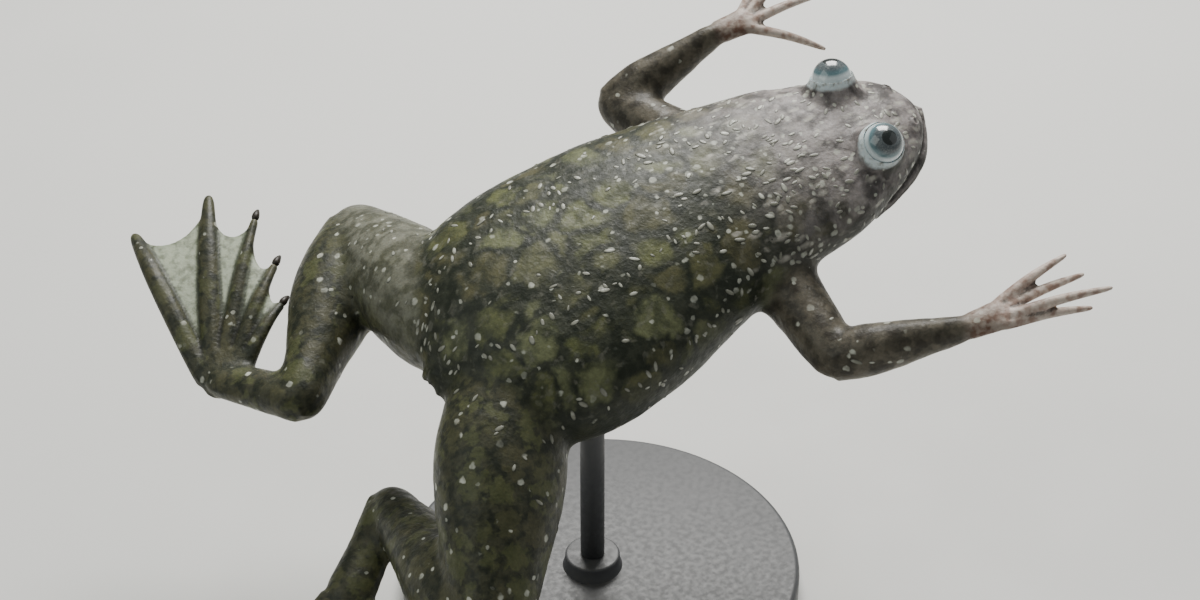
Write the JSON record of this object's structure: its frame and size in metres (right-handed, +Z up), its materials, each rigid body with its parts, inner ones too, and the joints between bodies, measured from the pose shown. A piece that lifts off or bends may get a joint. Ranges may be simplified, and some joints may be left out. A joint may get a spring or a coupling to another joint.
{
  "type": "african clawed frog",
  "caption": "Life-size still model of a clawed frog in mid-water, hind legs folded and forelegs reaching ahead, held by one rod on a round base.",
  "frame": {"origin": "centre of the stand's underside", "axes": "+X the way the frog heads, +Y to its left, +Z up; the underside of the base lies in z = 0"},
  "size_m": [0.1635, 0.1418, 0.11],
  "materials": {
    "skin": "wet, smooth skin with blotches and pale dots",
    "eye": "glossy, grey-blue iris with a dark round pupil",
    "claw": "glossy black horn",
    "stand": "satin dark grey paint"
  },
  "bodies": {
    "root": {"torso": "skin", "head": "skin", "eye_left": "eye", "upper_arm_left": "skin", "forearm_left": "skin", "hand_left": "skin", "thigh_left": "skin", "shank_left": "skin", "tarsus_left": "skin", "foot_left": "skin", "claw_left_1": "claw", "claw_left_2": "claw", "claw_left_3": "claw", "eye_right": "eye", "upper_arm_right": "skin", "forearm_right": "skin", "hand_right": "skin", "thigh_right": "skin", "shank_right": "skin", "tarsus_right": "skin", "foot_right": "skin", "claw_right_1": "claw", "claw_right_2": "claw", "claw_right_3": "claw", "stand_base": "stand", "stand_rod": "stand"}
  },
  "joints": []
}
